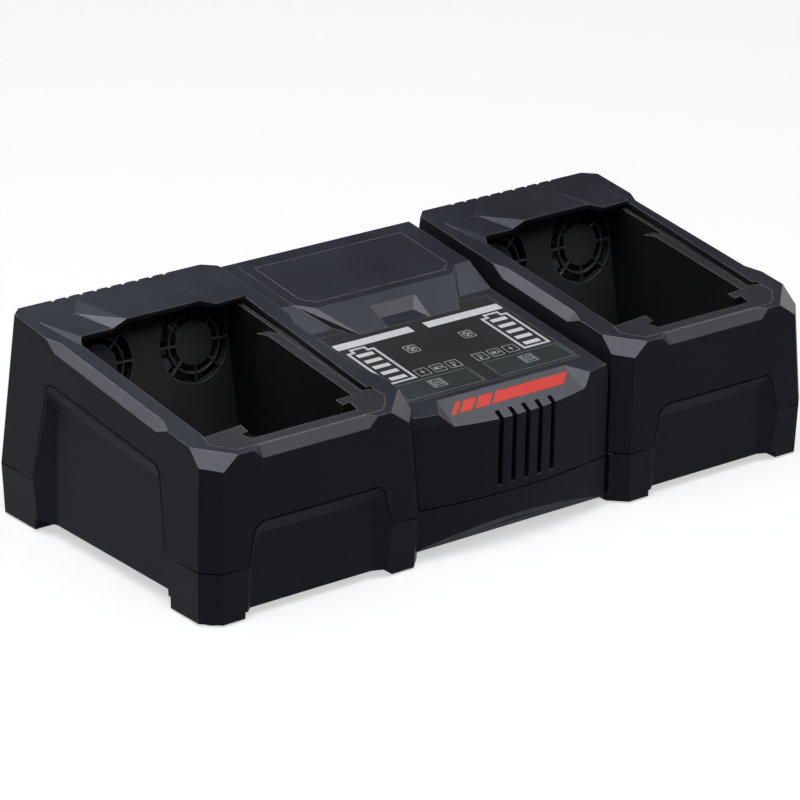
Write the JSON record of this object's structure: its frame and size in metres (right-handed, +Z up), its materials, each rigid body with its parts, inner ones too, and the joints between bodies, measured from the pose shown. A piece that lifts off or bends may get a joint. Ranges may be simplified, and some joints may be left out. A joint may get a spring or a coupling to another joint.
{
  "type": "dual-bay tool battery charger",
  "caption": "Free-standing charger for tool battery packs: a bay with fans and rails at each end, and a sloped display with keys and vents between them.",
  "frame": {"origin": "on the ground, under the middle of the charger", "axes": "+X to the right across the two bays, +Y to the back, +Z up"},
  "size_m": [0.373, 0.1774, 0.1053],
  "materials": {
    "upper_shell": "black moulded plastic with a fine spark-eroded texture",
    "base_shell": "black moulded plastic with a fine spark-eroded texture",
    "bay_tub": "black moulded plastic, smooth inside",
    "fan_panel": "black moulded plastic",
    "contact_block": "black moulded plastic",
    "contact_metal": "plated spring bronze",
    "foot_rubber": "soft black rubber",
    "fan_frame": "black glass-filled plastic",
    "fan_rotor": "black plastic",
    "mode_key": "satin dark printed film",
    "switch_body": "black plastic",
    "light_guide": "milky white light guide",
    "transformer_core": "dark ferrite with tape",
    "capacitor_can": "sleeved aluminium can",
    "heat_sink": "plain extruded aluminium",
    "display_film": "satin dark display film",
    "nameplate": "satin dark plate, bare",
    "accent_red": "bright red satin print",
    "circuit_board": "green circuit board",
    "gland": "black flexible plastic"
  },
  "bodies": {
    "housing": {"lower_housing": "base_shell", "front_left_foot": "foot_rubber", "back_left_foot": "foot_rubber", "front_right_foot": "foot_rubber", "back_right_foot": "foot_rubber", "left_bay_housing": "upper_shell", "left_bay_tub": "bay_tub", "left_fan_panel": "fan_panel", "left_contact_block": "contact_block", "left_contacts": "contact_metal", "left_fan_1_frame": "fan_frame", "left_fan_2_frame": "fan_frame", "left_key_switch": "switch_body", "left_light_bar": "light_guide", "left_charge_gauge": "light_guide", "left_transformer": "transformer_core", "left_capacitor": "capacitor_can", "left_heat_sink": "heat_sink", "right_bay_housing": "upper_shell", "right_bay_tub": "bay_tub", "right_fan_panel": "fan_panel", "right_contact_block": "contact_block", "right_contacts": "contact_metal", "right_fan_1_frame": "fan_frame", "right_fan_2_frame": "fan_frame", "right_key_switch": "switch_body", "right_light_bar": "light_guide", "right_charge_gauge": "light_guide", "right_transformer": "transformer_core", "right_capacitor": "capacitor_can", "right_heat_sink": "heat_sink", "centre_housing": "upper_shell", "display_film": "display_film", "nameplate": "nameplate", "accent_1": "accent_red", "accent_2": "accent_red", "accent_3": "accent_red", "accent_4": "accent_red", "display_board": "circuit_board", "main_board": "circuit_board", "mains_gland": "gland"},
    "left_fan_1": {"left_fan_1_rotor": "fan_rotor"},
    "left_fan_2": {"left_fan_2_rotor": "fan_rotor"},
    "right_fan_1": {"right_fan_1_rotor": "fan_rotor"},
    "right_fan_2": {"right_fan_2_rotor": "fan_rotor"},
    "left_key": {"left_mode_key": "mode_key"},
    "right_key": {"right_mode_key": "mode_key"}
  },
  "joints": [
    {"name": "left_fan_1_spin", "type": "hinge", "parent": "housing", "child": "left_fan_1", "pos_m": [-0.15425, 0.04525, 0.07947], "axis": [0, -0.9816, 0.1908], "continuous": true},
    {"name": "left_fan_2_spin", "type": "hinge", "parent": "housing", "child": "left_fan_2", "pos_m": [-0.09825, 0.04525, 0.07947], "axis": [0, -0.9816, 0.1908], "continuous": true},
    {"name": "right_fan_1_spin", "type": "hinge", "parent": "housing", "child": "right_fan_1", "pos_m": [0.09075, 0.04525, 0.07947], "axis": [0, -0.9816, 0.1908], "continuous": true},
    {"name": "right_fan_2_spin", "type": "hinge", "parent": "housing", "child": "right_fan_2", "pos_m": [0.14675, 0.04525, 0.07947], "axis": [0, -0.9816, 0.1908], "continuous": true},
    {"name": "left_key_press", "type": "slide", "parent": "housing", "child": "left_key", "axis": [0, 0.1409, -0.99], "range_m": [0, 0.0006], "stiffness_N_per_m": 1500},
    {"name": "right_key_press", "type": "slide", "parent": "housing", "child": "right_key", "axis": [0, 0.1409, -0.99], "range_m": [0, 0.0006], "stiffness_N_per_m": 1500}
  ]
}
